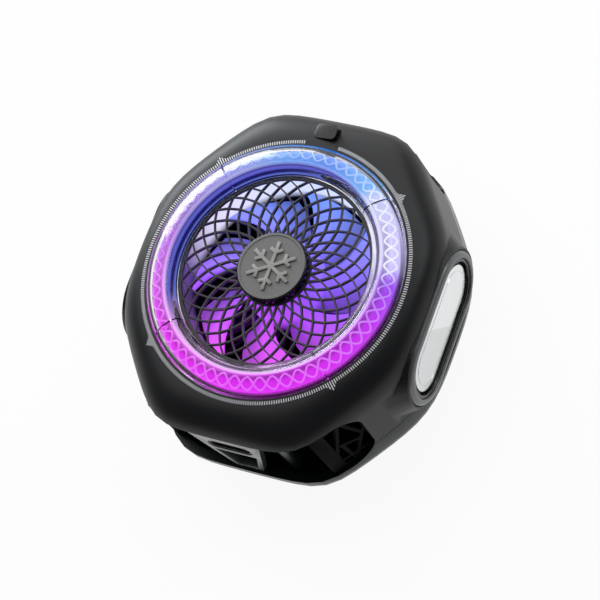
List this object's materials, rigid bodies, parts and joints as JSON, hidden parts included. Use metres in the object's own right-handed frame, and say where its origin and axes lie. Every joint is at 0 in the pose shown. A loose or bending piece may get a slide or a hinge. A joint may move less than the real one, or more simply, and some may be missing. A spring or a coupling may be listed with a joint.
{
  "type": "magnetic phone cooling fan",
  "caption": "Octagonal magnetic phone cooler: a thermoelectric cold plate and finned heat sink under a fan with a spiral guard, inside a lit dome ring, with side badges and corner air outlets.",
  "frame": {"origin": "centre of the contact face that meets the phone, on the fan's axis", "axes": "+Z is the fan's axis, out of the front; +Y points to the power button and -Y to the power socket; +X points to the right-hand badge seen from the front"},
  "size_m": [0.0628, 0.0676, 0.031],
  "materials": {
    "shell_black": "fine matte texture",
    "shell_smoke": "glossy, smoky",
    "lens_clear": "clear, polished",
    "light_diffuser": "milky, lit from below",
    "guard_black": "satin",
    "cap_grey": "satin",
    "emblem_grey": "satin",
    "button_black": "gloss",
    "trim_grey": "satin",
    "plate_silver": "fine brushed",
    "seat_black": "gloss",
    "frame_grey": "satin",
    "lattice_black": "matte",
    "fan_white": "milky satin",
    "steel": "bright",
    "screw_steel": "blackened",
    "magnet_metal": "plated",
    "magnet_ferrite": "moulded ferrite",
    "sink_aluminium": "machined",
    "sink_black": "anodised",
    "ceramic": "smooth ceramic",
    "pellet": "cut crystal",
    "bronze": "porous sintered bronze",
    "copper": "enamelled wire",
    "board_green": "solder mask",
    "flex_amber": "polyimide film",
    "led_body": "moulded resin",
    "wire_black": "smooth",
    "wire_red": "smooth",
    "foam_black": "fine-celled foam",
    "grip_rubber": "soft matte",
    "contact_black": "moulded"
  },
  "bodies": {
    "housing": {"front_shell": "shell_black", "rear_shell": "shell_smoke", "lens_right": "lens_clear", "lens_top": "lens_clear", "lens_left": "lens_clear", "lens_bottom": "lens_clear", "light_guide": "light_diffuser", "led_board": "board_green", "leds": "led_body", "led_flex": "flex_amber", "fan_guard": "guard_black", "hub_cap": "cap_grey", "hub_emblem": "emblem_grey", "button_switch": "contact_black", "button_board": "board_green", "button_flex": "flex_amber", "badge_seat_right": "seat_black", "badge_seat_left": "seat_black", "badge_trim_right": "trim_grey", "badge_trim_left": "trim_grey", "badge_plate_right": "plate_silver", "badge_plate_left": "plate_silver", "port_frame": "frame_grey", "vent_frame": "frame_grey", "lattice_top_right": "lattice_black", "lattice_top_left": "lattice_black", "lattice_bottom_right": "lattice_black", "lattice_bottom_left": "lattice_black", "usb_shell": "steel", "usb_tongue": "contact_black", "main_board": "board_green", "fan_frame": "fan_white", "bearing_sleeve": "bronze", "thrust_pad": "ceramic", "stator_core": "steel", "stator_coils": "copper", "motor_board": "board_green", "fan_lead": "wire_black", "heat_sink": "sink_black", "tec_hot_plate": "ceramic", "tec_pellets": "pellet", "tec_cold_plate": "ceramic", "tec_leads": "wire_red", "foam_gasket": "foam_black", "cold_plate": "sink_aluminium", "magnet_tray": "contact_black", "magnets": "magnet_metal", "grip_ring": "grip_rubber", "housing_screws": "screw_steel", "fan_screws": "steel", "board_screws": "steel"},
    "rotor": {"fan_impeller": "fan_white", "rotor_yoke": "steel", "rotor_magnet": "magnet_ferrite", "motor_shaft": "steel"},
    "button": {"power_button": "button_black"}
  },
  "joints": [
    {"name": "fan_spin", "type": "hinge", "parent": "housing", "child": "rotor", "pos_m": [0, 0, 0.021], "axis": [0, 0, 1], "continuous": true},
    {"name": "button_press", "type": "slide", "parent": "housing", "child": "button", "axis": [0, 0, -1], "range_m": [0, 0.0004], "stiffness_N_per_m": 500, "springref_m": -0.0005}
  ]
}
